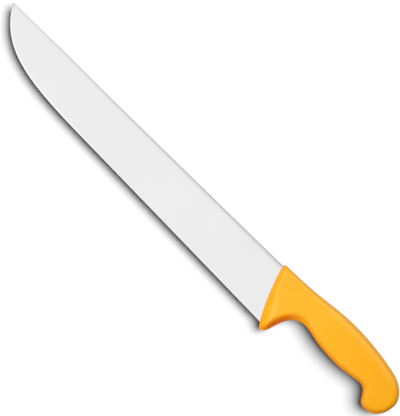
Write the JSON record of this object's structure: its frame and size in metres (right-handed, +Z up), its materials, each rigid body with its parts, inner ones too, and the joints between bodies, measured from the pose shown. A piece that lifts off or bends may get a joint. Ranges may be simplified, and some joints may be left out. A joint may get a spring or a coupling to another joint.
{
  "type": "butcher knife",
  "caption": "Long butcher knife: broad straight-spined steel blade with an upswept tip, and a moulded handle with a finger guard and a hooked butt, for slicing meat.",
  "frame": {"origin": "centre of the footprint, on the plane that the knife's cheek rests on", "axes": "the knife lies on one cheek: +X runs from the tip to the butt, +Y from the edge to the spine, +Z up through the blade's sides"},
  "size_m": [0.4706, 0.0588, 0.022],
  "materials": {
    "blade_steel": "satin ground and polished stainless steel",
    "handle_plastic": "warm yellow satin polypropylene with a fine moulded grain"
  },
  "bodies": {
    "root": {"blade": "blade_steel", "handle": "handle_plastic"}
  },
  "joints": []
}
